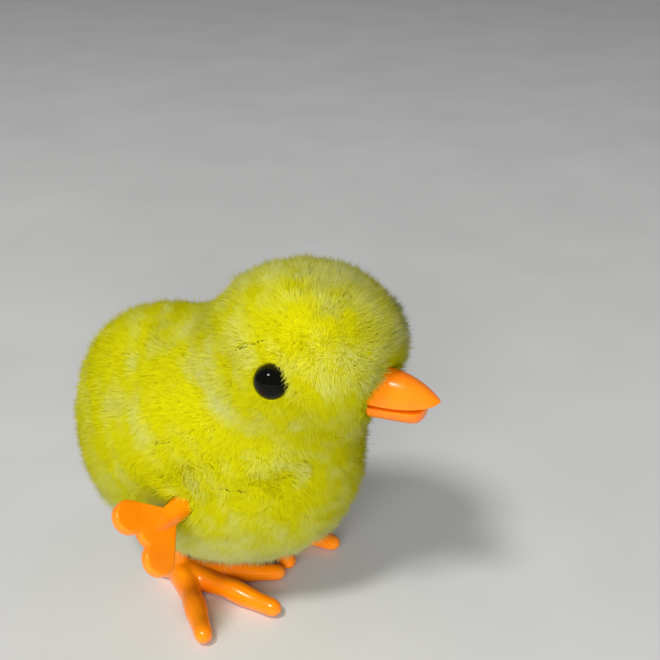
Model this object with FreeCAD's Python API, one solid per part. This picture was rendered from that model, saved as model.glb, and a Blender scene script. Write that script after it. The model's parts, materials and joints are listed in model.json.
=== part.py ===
import FreeCAD, Part
import math
import os

# Wind-up hopping chick, millimetres. +X is the way the beak points, +Y the chick's left, +Z up.
# The chick is drawn about its own middle plane y = 0 with the soles on z = 0, and is moved at the
# end so that the origin is the middle of its bounding box, on the surface it stands on.

# ---- driving dimensions -------------------------------------------------------------------------
BODY_MID = (0.0, 0.0, 31.8)        # centre of the egg-shaped body
BODY_FUR = (33.3, 24.6, 28.0)      # half sizes over the fur
HEAD_MID = (22.0, 0.0, 57.4)       # centre of the head
HEAD_FUR = (21.5, 19.6, 18.6)      # half sizes over the fur
FUR_DEPTH = 5.5                    # pile and backing cloth together
SHELL_WALL = 1.2                   # moulded body shell
COVER_GAP = 0.05                   # between the shell and the cloth pulled over it
BASE_TOP = 12.5                    # the shell's flat, open underside
BASE_THICK = 1.5
BEAK_TIP = (50.6, 52.7)            # x, z of the upper beak's tip
BEAK_BASE_X = 38.1
BEAK_BASE_Z = 51.5                 # mouth line at the base; it rises to the tip
BEAK_STEM_Z = 53.4
BEAK_STEM_R = 1.8
EYE_MID = (24.9, 17.2, 58.2)       # left eye, mirrored on the right
EYE_R = 3.3
EYE_STEM_R = 1.0
FOOT_ROOT = (-3.0, 12.0)           # where the three toes meet, left foot
TOES = [(23.6, 43.6), (25.6, 2.5), (22.6, -28.0)]   # reach from the root, angle outwards from +X
HEEL = (7.0, 172.0)
TOE_R = 2.1
TOE_Z = 1.9                        # height of a toe's middle line, so that its sole is a flat strip
TIP_R = 2.15
KNUCKLE_R = 2.4
KICK_DEG = 14.0                    # how far the legs swing toes down
SHANK_Y = (9.8, 12.4)              # inner and outer face of a leg's flat shank
SHANK_TOP_R = 3.0
SHANK_LOW_R = 2.2
ANKLE_Z = 3.0
AXLE_OVERHANG = 0.5

CASE_X = (-15.0, 16.5)             # motor case
CASE_Z = (15.7, 44.0)
CASE_HALF = 9.0                    # half its width along Y
CASE_WALL = 1.2
CASE_CORNER = 6.0
PILLARS = ((8.0, 40.0), (-6.0, 40.5), (12.5, 24.0))   # shell pegs that hold the motor case, x and z
SHELL_SCREW_R = 0.95
CASE_SCREW_R = 0.9
SCREW_GAP = 0.05                   # radial room of a screw in its hole

MODULE = 0.5
GREAT_TEETH = 36
SECOND_PINION_TEETH = 9
SECOND_TEETH = 30
CAM_TEETH = 10
GOVERNOR_TEETH = 9

ARBOR = (5.4, 27.6)                # winding arbor, x and z
SECOND_AT_DEG = 165.0              # direction from the winding arbor to the second arbor
CAM_AT_DEG = -72.65                # direction from the second arbor to the cam arbor
LEG_AXLE = (-9.5, 20.0)

KEY_MID_Y = -34.7                  # middle of the key's two wings
KEY_TILT_DEG = -50.0               # direction of the wings in the x-z plane
KEY_WING_R = 3.4
KEY_WING_AT = 4.9                  # wing centre from the key's axis
KEY_THICK = 2.2
KEY_ROOT_Y = -21.3
KEY_BORE_Y = -31.0                 # end of the square hole
KEY_HOLE_R = 3.3                   # hole in the cover
KEY_SHELL_HOLE_R = 2.9
SQUARE = 1.7                       # the arbor's squared end

RUN_GAP = 0.05                     # radial running clearance of shafts in bores
ARBOR_R = 1.3
PIVOT_R = 0.75
AXLE_R = 1.0
RIVET_R = 0.6

RATCHET_TEETH = 12
RATCHET_R = (3.1, 3.9)             # root and tip
SPRING_OUT = 9.0                   # mainspring's outer radius
SPRING_STRIP = 0.28
SPRING_TURNS = 8
SPRING_POST_R = 0.7
SPRING_POST_AT_DEG = 75.0          # direction from the winding arbor
FAN_REACH = 3.4
FAN_VANE = 0.5

CAM_LOW = 2.2
CAM_HIGH = 3.9
CAM_DROP_DEG = 185.0
CAM_GAP = 0.15                     # cam nose to lever when the legs are drawn up
LEVER_NOSE_R = 1.0
LEVER_NOSE_AT_DEG = 135.0          # direction from the cam arbor to the lever's nose

# layers across the motor, along Y
SPRING_Y = (-7.3, -2.3)
GREAT_Y = (-1.6, -0.2)
RATCHET_Y = (0.0, 1.2)
SECOND_PINION_Y = (-2.0, 0.1)
SECOND_Y = (2.2, 3.4)
SMALL_PINION_Y = (1.9, 3.7)
CAM_Y = (4.4, 6.8)
FAN_Y = (4.4, 7.2)

OVERLAP = 0.3                      # how far joined solids run into each other before they are fused


def polar(mid, reach, degrees):
    """Point at a distance and direction from mid, in a plane of two coordinates."""
    angle = math.radians(degrees)
    return (mid[0] + reach * math.cos(angle), mid[1] + reach * math.sin(angle))


def mesh_distance(teeth_a, teeth_b):
    return MODULE * (teeth_a + teeth_b) / 2.0


SECOND = polar(ARBOR, mesh_distance(GREAT_TEETH, SECOND_PINION_TEETH), SECOND_AT_DEG)
CAM = polar(SECOND, mesh_distance(SECOND_TEETH, CAM_TEETH), CAM_AT_DEG)
GOVERNOR_AT_DEG = CAM_AT_DEG + 11 * 360.0 / SECOND_TEETH     # a whole number of teeth further on
GOVERNOR = polar(SECOND, mesh_distance(SECOND_TEETH, GOVERNOR_TEETH), GOVERNOR_AT_DEG)
LEVER_NOSE = polar(CAM, CAM_HIGH + CAM_GAP + LEVER_NOSE_R, LEVER_NOSE_AT_DEG)
SPRING_POST = polar(ARBOR, SPRING_OUT + SPRING_STRIP + RUN_GAP + SPRING_POST_R, SPRING_POST_AT_DEG)
CLICK_PIVOT = polar(ARBOR, 6.2, 250.0)
CLICK_TIP = polar(ARBOR, 4.75, 292.0)
ANKLE = (FOOT_ROOT[0], ANKLE_Z)
CASE_SCREWS = [(12.2, 39.2), (-10.6, 39.6)]
SHELL_SCREWS = [(20.8, 31.5), (-20.8, 31.5), (22.0, 64.5)]


# ---- shared shapes ------------------------------------------------------------------------------
def ellipsoid(mid, radii):
    matrix = FreeCAD.Matrix()
    matrix.scale(radii[0], radii[1], radii[2])
    ball = Part.makeSphere(1.0).transformGeometry(matrix)
    ball.translate(FreeCAD.Vector(*mid))
    return ball


def rod(at, radius, low, high):
    """Cylinder along Y at x, z."""
    start = FreeCAD.Vector(at[0], low, at[1])
    return Part.makeCylinder(radius, high - low, start, FreeCAD.Vector(0, 1, 0))


def slab(outline, low, high):
    """Prism along Y over a closed x-z outline."""
    points = [FreeCAD.Vector(x, low, z) for x, z in outline]
    face = Part.Face(Part.makePolygon(points + points[:1]))
    return face.extrude(FreeCAD.Vector(0, high - low, 0))


def link(start, end, start_r, end_r, low, high):
    """Two bosses and the tapered web between them, a prism along Y."""
    gap = math.dist(start, end)
    along = math.degrees(math.atan2(end[1] - start[1], end[0] - start[0]))
    lean = math.degrees(math.acos((start_r - end_r) / gap))
    web = [polar(start, start_r, along + lean), polar(end, end_r, along + lean),
           polar(end, end_r, along - lean), polar(start, start_r, along - lean)]
    bosses = rod(start, start_r, low, high).fuse(rod(end, end_r, low, high))
    return bosses.fuse(slab(web, low, high)).removeSplitter()


def turned(shape, pivot, degrees):
    """Copy turned about the Y line through pivot; positive carries +Z towards +X."""
    copy = shape.copy()
    copy.rotate(FreeCAD.Vector(pivot[0], 0, pivot[1]), FreeCAD.Vector(0, 1, 0), degrees)
    return copy


def gear(mid, teeth, span, bore_r, tooth_deg):
    """Straight-sided spur gear along Y with a tooth centred on the direction tooth_deg."""
    pitch_r = MODULE * teeth / 2.0
    tip_r = pitch_r + 0.75 * MODULE
    root_r = pitch_r - 1.05 * MODULE
    tip_half = math.degrees(0.36 * MODULE / tip_r)
    root_half = math.degrees(1.02 * MODULE / root_r)
    outline = []
    for number in range(teeth):
        centre = tooth_deg + number * 360.0 / teeth
        outline.append(polar(mid, root_r, centre - root_half))
        outline.append(polar(mid, tip_r, centre - tip_half))
        outline.append(polar(mid, tip_r, centre + tip_half))
        outline.append(polar(mid, root_r, centre + root_half))
    return slab(outline, span[0], span[1]).cut(rod(mid, bore_r, span[0] - 1, span[1] + 1))


def washer(at, outer_r, inner_r, low, high):
    return rod(at, outer_r, low, high).cut(rod(at, inner_r, low - 1, high + 1))


def screw(at, head_r, shank_r, head_from, head_to, end):
    """Flat-headed screw along Y with a cross recess in its head."""
    low = min(head_to, end)
    high = max(head_to, end)
    body = rod(at, head_r, min(head_from, head_to), max(head_from, head_to))
    body = body.fuse(rod(at, shank_r, low, high)).removeSplitter()
    depth = 0.5
    out = -1 if head_from < head_to else 1
    for along_x in (True, False):
        size_x = 1.6 * head_r if along_x else 0.4
        size_z = 0.4 if along_x else 1.6 * head_r
        lowest = min(head_from, head_from - out * depth)
        corner = FreeCAD.Vector(at[0] - size_x / 2, lowest, at[1] - size_z / 2)
        body = body.cut(Part.makeBox(size_x, depth, size_z, corner))
    return body


def mirrored(shape):
    return shape.mirror(FreeCAD.Vector(0, 0, 0), FreeCAD.Vector(0, 1, 0))


def shrunk(radii, amount):
    return tuple(radius - amount for radius in radii)


def chick_form(inset):
    """Body and head together, drawn in from the fur's surface."""
    body = ellipsoid(BODY_MID, shrunk(BODY_FUR, inset))
    head = ellipsoid(HEAD_MID, shrunk(HEAD_FUR, inset))
    return body.fuse(head)


def half_space(side):
    """Everything on one side of the middle plane."""
    low = 0.0 if side > 0 else -100.0
    return Part.makeBox(300, 100, 300, FreeCAD.Vector(-150, low, -100))


# ---- cover and shell ----------------------------------------------------------------------------
def leg_slot(side, margin):
    """Room for one shank through its whole swing."""
    room = None
    for step in range(4):
        angle = KICK_DEG * step / 3.0
        piece = turned(shank(side, margin), LEG_AXLE, angle)
        room = piece if room is None else room.fuse(piece)
    return room


def base_opening(low, high, margin):
    rim = math.sqrt(1 - ((BODY_MID[2] - BASE_TOP) / (BODY_FUR[2] - FUR_DEPTH)) ** 2)
    half_x = (BODY_FUR[0] - FUR_DEPTH) * rim + margin
    half_y = (BODY_FUR[1] - FUR_DEPTH) * rim + margin
    edge = Part.Ellipse(FreeCAD.Vector(0, 0, low), half_x, half_y).toShape()
    return Part.Face(Part.Wire([edge])).extrude(FreeCAD.Vector(0, 0, high - low))


def eye_hole(side, radius, low, high):
    span = (low, high) if side > 0 else (-high, -low)
    return rod((EYE_MID[0], EYE_MID[2]), radius, span[0], span[1])


def beak_stem(radius, start, end):
    base = FreeCAD.Vector(start, 0, BEAK_STEM_Z)
    return Part.makeCylinder(radius, end - start, base, FreeCAD.Vector(1, 0, 0))


def plush_cover():
    cover = chick_form(0.0).cut(chick_form(FUR_DEPTH))
    cover = cover.cut(base_opening(-1.0, BASE_TOP, 0.3))
    for side in (-1, 1):
        cover = cover.cut(leg_slot(side, 0.9))
        cover = cover.cut(eye_hole(side, EYE_R + 0.05, 13.0, 26.0))
    cover = cover.cut(rod(ARBOR, KEY_HOLE_R, -30.0, -10.0))
    return cover.cut(beak_room())


def beak_room():
    """Space in the fur for the beak's base."""
    mouth = Part.makeSphere(5.8, FreeCAD.Vector(BEAK_BASE_X + 2.5, 0, BEAK_BASE_Z + 0.6))
    front = Part.makeBox(30, 30, 30, FreeCAD.Vector(BEAK_BASE_X - 0.6, -15, 40))
    start = FreeCAD.Vector(BEAK_BASE_X - 0.6, 0, BEAK_BASE_Z + 0.2)
    tunnel = Part.makeCylinder(5.4, 12, start, FreeCAD.Vector(1, 0, 0))
    return mouth.common(front).fuse(tunnel).fuse(beak_stem(BEAK_STEM_R + 0.1, 30, 44))


def body_shell(side):
    outside = chick_form(FUR_DEPTH + COVER_GAP)
    inside = chick_form(FUR_DEPTH + COVER_GAP + SHELL_WALL)
    shell = outside.cut(inside)
    for at in SHELL_SCREWS:
        shell = shell.fuse(rod(at, 2.4, -22.0, 22.0).common(inside))
    for at in PILLARS:
        span = (CASE_HALF, 22.0) if side > 0 else (-22.0, -CASE_HALF)
        shell = shell.fuse(rod(at, 1.5, span[0], span[1]).common(inside))
    shell = shell.common(half_space(side))
    shell = shell.cut(Part.makeBox(100, 100, BASE_TOP + 1, FreeCAD.Vector(-50, -50, -1)))
    for at in SHELL_SCREWS:
        shell = shell.cut(rod(at, SHELL_SCREW_R + (1 if side > 0 else 3) * SCREW_GAP, -4.2, 4.2))
        shell = shell.cut(rod(at, 1.9, -22.0, -3.5))
    shell = shell.cut(leg_slot(side, 0.7))
    shell = shell.cut(eye_hole(side, EYE_STEM_R + 0.05, 8.0, 20.0))
    if side < 0:
        shell = shell.cut(rod(ARBOR, KEY_SHELL_HOLE_R, -22.0, -12.0))
    return shell.cut(beak_stem(BEAK_STEM_R + 0.05, 30, 44)).removeSplitter()


def shell_screws():
    group = [screw(at, 1.8, SHELL_SCREW_R, -5.3, -3.5, 3.9) for at in SHELL_SCREWS]
    return Part.makeCompound(group)


def base_plate():
    plate = base_opening(BASE_TOP - BASE_THICK, BASE_TOP, -0.1)
    for side in (-1, 1):
        plate = plate.cut(leg_slot(side, 0.6))
    for side in (-1, 1):
        plate = plate.cut(upright(base_screw_at(side), CASE_SCREW_R + SCREW_GAP, 0, BASE_TOP + 1))
    return plate


def base_screw_at(side):
    return (side * 5.4, side * 3.6)


def upright(at, radius, low, high):
    """Cylinder along Z at x, y."""
    return Part.makeCylinder(radius, high - low, FreeCAD.Vector(at[0], at[1], low))


def base_screws():
    group = []
    bottom = BASE_TOP - BASE_THICK
    for side in (-1, 1):
        x, y = base_screw_at(side)
        head = upright((x, y), 1.7, bottom - 0.9, bottom)
        shank = upright((x, y), CASE_SCREW_R, bottom - OVERLAP, CASE_Z[0] + 0.8)
        slot = Part.makeBox(2.6, 0.5, 0.4, FreeCAD.Vector(x - 1.3, y - 0.25, bottom - 0.9))
        group.append(head.fuse(shank).removeSplitter().cut(slot))
    return Part.makeCompound(group)


# ---- face ---------------------------------------------------------------------------------------
def beak_section(x, z, half_y, half_z, top):
    """Half of an ellipse standing across X, its flat side level: the upper or the lower beak."""
    up = 1 if top else -1
    left = FreeCAD.Vector(x, half_y, z)
    right = FreeCAD.Vector(x, -half_y, z)
    crown = FreeCAD.Vector(x, 0, z + up * half_z)
    return Part.Wire([Part.Arc(left, crown, right).toShape(), Part.makeLine(right, left)])


def beak():
    upper = Part.makeLoft([beak_section(BEAK_BASE_X, BEAK_BASE_Z, 4.9, 4.8, True),
                           beak_section(BEAK_BASE_X + 5.0, BEAK_BASE_Z + 0.4, 3.9, 3.8, True),
                           beak_section(BEAK_TIP[0], BEAK_TIP[1] - 0.4, 0.5, 0.5, True)], True, True)
    lower = Part.makeLoft([beak_section(BEAK_BASE_X, BEAK_BASE_Z + 0.2, 4.6, 4.4, False),
                           beak_section(BEAK_BASE_X + 4.5, BEAK_BASE_Z + 0.5, 3.6, 4.1, False),
                           beak_section(BEAK_TIP[0] - 3.6, BEAK_BASE_Z + 0.9, 2.4, 3.0, False)], True, True)
    moulding = upper.fuse(lower)
    stem_end = BEAK_BASE_X - 6.4
    return moulding.fuse(beak_stem(BEAK_STEM_R, stem_end, BEAK_BASE_X + OVERLAP)).removeSplitter()


def beak_washer():
    outer = beak_stem(3.1, BEAK_BASE_X - 5.6, BEAK_BASE_X - 4.7)
    return outer.cut(beak_stem(BEAK_STEM_R, BEAK_BASE_X - 6, BEAK_BASE_X))


def eye(side):
    face = HEAD_FUR[1] - FUR_DEPTH + 0.2
    dome = Part.makeSphere(EYE_R, FreeCAD.Vector(EYE_MID[0], side * EYE_MID[1], EYE_MID[2]))
    dome = dome.cut(eye_hole(side, 10.0, 5.0, face))
    return dome.fuse(eye_hole(side, EYE_STEM_R, face - 5.6, face + OVERLAP)).removeSplitter()


def eye_washers():
    group = []
    for side in (-1, 1):
        ring = eye_hole(side, 3.0, 9.4, 10.2)
        group.append(ring.cut(eye_hole(side, EYE_STEM_R, 5.0, 20.0)))
    return Part.makeCompound(group)


# ---- legs ---------------------------------------------------------------------------------------
def shank(side, margin):
    span = (SHANK_Y[0] - margin, SHANK_Y[1] + margin)
    if side < 0:
        span = (-span[1], -span[0])
    return link(LEG_AXLE, ANKLE, SHANK_TOP_R + margin, SHANK_LOW_R + margin, span[0], span[1])


def toe(reach, degrees):
    """One toe of the left foot: a tapered bar with a knuckle and a rounded tip."""
    root = FreeCAD.Vector(FOOT_ROOT[0], FOOT_ROOT[1], TOE_Z)
    tip_at = polar(FOOT_ROOT, reach - TIP_R, degrees)
    tip = FreeCAD.Vector(tip_at[0], tip_at[1], TOE_Z)
    bar = Part.makeCylinder(TOE_R, reach - TIP_R, root, tip - root)
    bar = bar.fuse(Part.makeSphere(TIP_R, tip))
    if reach > 10.0:
        knuckle_at = polar(FOOT_ROOT, 0.52 * reach, degrees)
        bar = bar.fuse(Part.makeSphere(KNUCKLE_R, FreeCAD.Vector(knuckle_at[0], knuckle_at[1], TOE_Z)))
    return bar


def leg(side):
    foot = Part.makeSphere(3.2, FreeCAD.Vector(FOOT_ROOT[0], FOOT_ROOT[1], 2.2))
    for reach, degrees in TOES + [HEEL]:
        foot = foot.fuse(toe(reach, degrees))
    foot = foot.fuse(shank(1, 0.0))
    foot = foot.cut(Part.makeBox(100, 100, 10, FreeCAD.Vector(-50, -50, -10)))
    foot = foot.cut(rod(LEG_AXLE, AXLE_R, 5, 15)).removeSplitter()
    return foot if side > 0 else mirrored(foot)


def leg_axle():
    return rod(LEG_AXLE, AXLE_R, -SHANK_Y[1] - AXLE_OVERHANG, SHANK_Y[1] + AXLE_OVERHANG)


def axle_caps():
    caps = []
    for side in (-1, 1):
        low, high = sorted((side * SHANK_Y[1], side * (SHANK_Y[1] + AXLE_OVERHANG)))
        caps.append(washer(LEG_AXLE, 2.0, AXLE_R, low, high))
    return Part.makeCompound(caps)


def kick_lever():
    arm = link(LEG_AXLE, LEVER_NOSE, 2.0, 0.75, CAM_Y[0], CAM_Y[1])
    arm = arm.fuse(rod(LEVER_NOSE, LEVER_NOSE_R, CAM_Y[0], CAM_Y[1])).removeSplitter()
    return arm.cut(rod(LEG_AXLE, AXLE_R, 0, 10))


def bent_strip(path, thick, low, high):
    """Thin strip along Y following an x-z path of short straight runs."""
    sides = ([], [])
    for number, point in enumerate(path):
        before = path[max(number - 1, 0)]
        after = path[min(number + 1, len(path) - 1)]
        heading = math.degrees(math.atan2(after[1] - before[1], after[0] - before[0]))
        sides[0].append(polar(point, thick / 2.0, heading + 90.0))
        sides[1].append(polar(point, thick / 2.0, heading - 90.0))
    return slab(sides[0] + sides[1][::-1], low, high)


def kick_spring():
    """Bent leaf held by the case's back wall, pressing the lever towards the cam."""
    path = [(-13.6, 36.0), (-13.6, 32.0), (-13.3, 30.2), (-12.6, 28.6), (-11.5, 27.0), (-10.0, 25.4),
            (-9.0, 24.5), (-8.4, 24.3), (-7.95, 24.6)]
    return bent_strip(path, 0.3, CAM_Y[0] + 0.4, CAM_Y[1] - 0.4)


# ---- motor case ---------------------------------------------------------------------------------
def case_block(inset, low, high):
    corner = CASE_CORNER - inset
    x0, x1 = CASE_X[0] + inset, CASE_X[1] - inset
    z0, z1 = CASE_Z[0] + inset, CASE_Z[1] - inset
    block = Part.makeBox(x1 - x0, high - low, z1 - z0, FreeCAD.Vector(x0, low, z0))
    upright = [edge for edge in block.Edges
               if abs(edge.Vertexes[0].Y - edge.Vertexes[-1].Y) > 0.5 * (high - low)]
    return block.makeFillet(corner, upright)


def motor_case(side):
    inner_half = CASE_HALF - CASE_WALL
    if side > 0:
        case = case_block(0.0, 0.0, CASE_HALF).cut(case_block(CASE_WALL, -1.0, inner_half))
    else:
        case = case_block(0.0, -CASE_HALF, 0.0).cut(case_block(CASE_WALL, -inner_half, 1.0))
    low, high = sorted((0.0, side * (inner_half + OVERLAP)))
    for at in CASE_SCREWS:
        case = case.fuse(rod(at, 1.8, low, high))
        case = case.cut(rod(at, CASE_SCREW_R + SCREW_GAP, -20, 20))
    at = base_screw_at(side)
    case = case.fuse(upright(at, 1.8, BASE_TOP, CASE_Z[0] + OVERLAP))
    case = case.cut(upright(at, CASE_SCREW_R + SCREW_GAP, 0, CASE_Z[0] + 0.9))
    bores = [(SECOND, PIVOT_R), (CAM, PIVOT_R), (GOVERNOR, PIVOT_R), (LEG_AXLE, AXLE_R), (ARBOR, ARBOR_R)]
    for at, radius in bores:
        case = case.cut(rod(at, radius + RUN_GAP, -20, 20))
    if side < 0:
        case = case.cut(rod(SPRING_POST, SPRING_POST_R, -20, 0))
    return case.removeSplitter()


def case_screws():
    group = [screw(at, 1.6, CASE_SCREW_R, CASE_HALF + 0.9, CASE_HALF, -6.5) for at in CASE_SCREWS]
    return Part.makeCompound(group)


def spring_post():
    return rod(SPRING_POST, SPRING_POST_R, -CASE_HALF, SPRING_Y[1])


def mainspring():
    """Flat spiral strip from just off the arbor out to its post."""
    start_r = ARBOR_R + 0.25
    per_turn = 16
    inner = []
    outer = []
    for step in range(SPRING_TURNS * per_turn + 1):
        share = step / (SPRING_TURNS * per_turn)
        radius = start_r + (SPRING_OUT - start_r) * share
        angle = SPRING_POST_AT_DEG - 360.0 * SPRING_TURNS * (1 - share)
        for points, offset in ((inner, 0.0), (outer, SPRING_STRIP)):
            x, z = polar(ARBOR, radius + offset, angle)
            points.append(FreeCAD.Vector(x, SPRING_Y[0], z))
    curves = []
    for points in (inner, outer):
        curve = Part.BSplineCurve()
        curve.interpolate(points)
        curves.append(curve.toShape())
    ends = [Part.makeLine(inner[0], outer[0]), Part.makeLine(inner[-1], outer[-1])]
    face = Part.Face(Part.Wire([curves[0], ends[1], curves[1], ends[0]]))
    return face.extrude(FreeCAD.Vector(0, SPRING_Y[1] - SPRING_Y[0], 0))


# ---- winding key, arbor and great wheel ---------------------------------------------------------
def squared_end(low, high):
    half = SQUARE / 2.0
    return Part.makeBox(SQUARE, high - low, SQUARE, FreeCAD.Vector(ARBOR[0] - half, low, ARBOR[1] - half))


def winding_arbor():
    arbor = rod(ARBOR, ARBOR_R, -CASE_HALF - 6.0, CASE_HALF)
    return arbor.fuse(squared_end(KEY_BORE_Y, -CASE_HALF - 5.0)).removeSplitter()


def winding_key():
    centre = FreeCAD.Vector(ARBOR[0], KEY_MID_Y, ARBOR[1])
    start = FreeCAD.Vector(ARBOR[0], KEY_ROOT_Y, ARBOR[1])
    back = FreeCAD.Vector(0, -1, 0)
    body = Part.makeCone(2.5, 1.8, KEY_ROOT_Y - KEY_MID_Y - 1.5, start, back)
    plate_dir = FreeCAD.Vector(0, 0, 1)
    for sign in (-1, 1):
        at = centre + FreeCAD.Vector(sign * KEY_WING_AT, 0, 0)
        wing = Part.makeCylinder(KEY_WING_R, KEY_THICK, at - plate_dir * (KEY_THICK / 2), plate_dir)
        body = body.fuse(wing)
    bridge = Part.makeBox(2 * KEY_WING_AT, 3.4, KEY_THICK,
                          centre - FreeCAD.Vector(KEY_WING_AT, 1.2, KEY_THICK / 2))
    body = body.fuse(bridge).removeSplitter()
    body = turned(body, ARBOR, -KEY_TILT_DEG)
    return body.cut(squared_end(KEY_BORE_Y, KEY_ROOT_Y + 1.0))


def ratchet_wheel():
    outline = []
    for number in range(RATCHET_TEETH):
        start = number * 360.0 / RATCHET_TEETH
        outline.append(polar(ARBOR, RATCHET_R[0], start))
        outline.append(polar(ARBOR, RATCHET_R[1], start + 2.0))
    wheel = slab(outline, RATCHET_Y[0], RATCHET_Y[1])
    return wheel.cut(rod(ARBOR, ARBOR_R, RATCHET_Y[0] - 1, RATCHET_Y[1] + 1))


def great_wheel():
    wheel = gear(ARBOR, GREAT_TEETH, GREAT_Y, ARBOR_R + RUN_GAP, SECOND_AT_DEG)
    for number in range(3):
        wheel = wheel.cut(rod(polar(ARBOR, 5.4, 10.0 + 120.0 * number), 1.7, -5, 5))
    return wheel.cut(rod(CLICK_PIVOT, RIVET_R, -5, 5))


def click():
    arm = link(CLICK_PIVOT, CLICK_TIP, 1.1, 0.55, RATCHET_Y[0], RATCHET_Y[1])
    return arm.cut(rod(CLICK_PIVOT, RIVET_R, -5, 5))


def click_rivet():
    return rod(CLICK_PIVOT, RIVET_R, GREAT_Y[0] - 0.3, RATCHET_Y[1] + 0.3)


# ---- the rest of the train ----------------------------------------------------------------------
def second_arbor():
    return rod(SECOND, PIVOT_R, -CASE_HALF, CASE_HALF)


def second_pinion():
    return gear(SECOND, SECOND_PINION_TEETH, SECOND_PINION_Y, PIVOT_R,
                SECOND_AT_DEG + 180.0 + 180.0 / SECOND_PINION_TEETH)


def second_wheel():
    wheel = gear(SECOND, SECOND_TEETH, SECOND_Y, PIVOT_R, CAM_AT_DEG)
    for number in range(4):
        wheel = wheel.cut(rod(polar(SECOND, 4.2, 20.0 + 90.0 * number), 1.6, 0, 5))
    return wheel


def cam_arbor():
    return rod(CAM, PIVOT_R, -CASE_HALF, CASE_HALF)


def cam_pinion():
    return gear(CAM, CAM_TEETH, SMALL_PINION_Y, PIVOT_R, CAM_AT_DEG + 180.0 + 180.0 / CAM_TEETH)


def kick_cam():
    """Snail: its radius grows round one turn and drops back at once, which lets the legs go."""
    steps = 60
    points = []
    for step in range(steps + 1):
        share = step / steps
        radius = CAM_LOW + (CAM_HIGH - CAM_LOW) * share
        x, z = polar(CAM, radius, CAM_DROP_DEG - 352.0 * share)
        points.append(FreeCAD.Vector(x, CAM_Y[0], z))
    curve = Part.BSplineCurve()
    curve.interpolate(points)
    face = Part.Face(Part.Wire([curve.toShape(), Part.makeLine(points[-1], points[0])]))
    snail = face.extrude(FreeCAD.Vector(0, CAM_Y[1] - CAM_Y[0], 0))
    return snail.cut(rod(CAM, PIVOT_R, 0, 10))


def governor_arbor():
    return rod(GOVERNOR, PIVOT_R, -CASE_HALF, CASE_HALF)


def governor_pinion():
    return gear(GOVERNOR, GOVERNOR_TEETH, SMALL_PINION_Y, PIVOT_R,
                GOVERNOR_AT_DEG + 180.0 + 180.0 / GOVERNOR_TEETH)


def governor_fan():
    """Air brake: a hub with two flat vanes."""
    fan = rod(GOVERNOR, 1.5, FAN_Y[0], FAN_Y[1])
    corner = FreeCAD.Vector(GOVERNOR[0] - FAN_REACH, FAN_Y[0], GOVERNOR[1] - FAN_VANE / 2)
    vane = Part.makeBox(2 * FAN_REACH, FAN_Y[1] - FAN_Y[0], FAN_VANE, corner)
    return fan.fuse(vane).removeSplitter().cut(rod(GOVERNOR, PIVOT_R, 0, 10))


# ---- the whole chick ----------------------------------------------------------------------------
PIECES = {
    "plush_cover": plush_cover,
    "shell_right": lambda: body_shell(-1),
    "shell_left": lambda: body_shell(1),
    "shell_screws": shell_screws,
    "base_plate": base_plate,
    "base_screws": base_screws,
    "beak": beak,
    "beak_washer": beak_washer,
    "eye_right": lambda: eye(-1),
    "eye_left": lambda: eye(1),
    "eye_washers": eye_washers,
    "motor_case_right": lambda: motor_case(-1),
    "motor_case_left": lambda: motor_case(1),
    "case_screws": case_screws,
    "spring_post": spring_post,
    "mainspring": mainspring,
    "kick_spring": kick_spring,
    "winding_key": winding_key,
    "winding_arbor": winding_arbor,
    "ratchet_wheel": ratchet_wheel,
    "great_wheel": great_wheel,
    "click": click,
    "click_rivet": click_rivet,
    "second_arbor": second_arbor,
    "second_pinion": second_pinion,
    "second_wheel": second_wheel,
    "cam_arbor": cam_arbor,
    "cam_pinion": cam_pinion,
    "kick_cam": kick_cam,
    "governor_arbor": governor_arbor,
    "governor_pinion": governor_pinion,
    "governor_fan": governor_fan,
    "right_leg": lambda: leg(-1),
    "left_leg": lambda: leg(1),
    "leg_axle": leg_axle,
    "axle_caps": axle_caps,
    "kick_lever": kick_lever,
}

TAIL_X = BODY_MID[0] - BODY_FUR[0]
KEY_OUT_Y = KEY_MID_Y - KEY_WING_R
TOE_OUT_Y = polar(FOOT_ROOT, TOES[0][0] - TIP_R, TOES[0][1])[1] + TIP_R
TO_ORIGIN = FreeCAD.Vector(-(BEAK_TIP[0] + TAIL_X) / 2.0, -(TOE_OUT_Y + KEY_OUT_Y) / 2.0, 0.0)


def main():
    os.makedirs("parts", exist_ok=True)
    for name, make in PIECES.items():
        shape = make()
        shape.translate(TO_ORIGIN)
        shape.exportStep("parts/%s.step" % name)
        box = shape.BoundBox
        print("%-18s solids %d valid %s volume %9.2f  x %7.2f %7.2f  y %7.2f %7.2f  z %6.2f %6.2f"
              % (name, len(shape.Solids), shape.isValid(), shape.Volume, box.XMin, box.XMax,
                 box.YMin, box.YMax, box.ZMin, box.ZMax))


main()
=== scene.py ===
import json
import math

import bpy
import numpy as np
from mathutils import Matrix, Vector, kdtree


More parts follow.
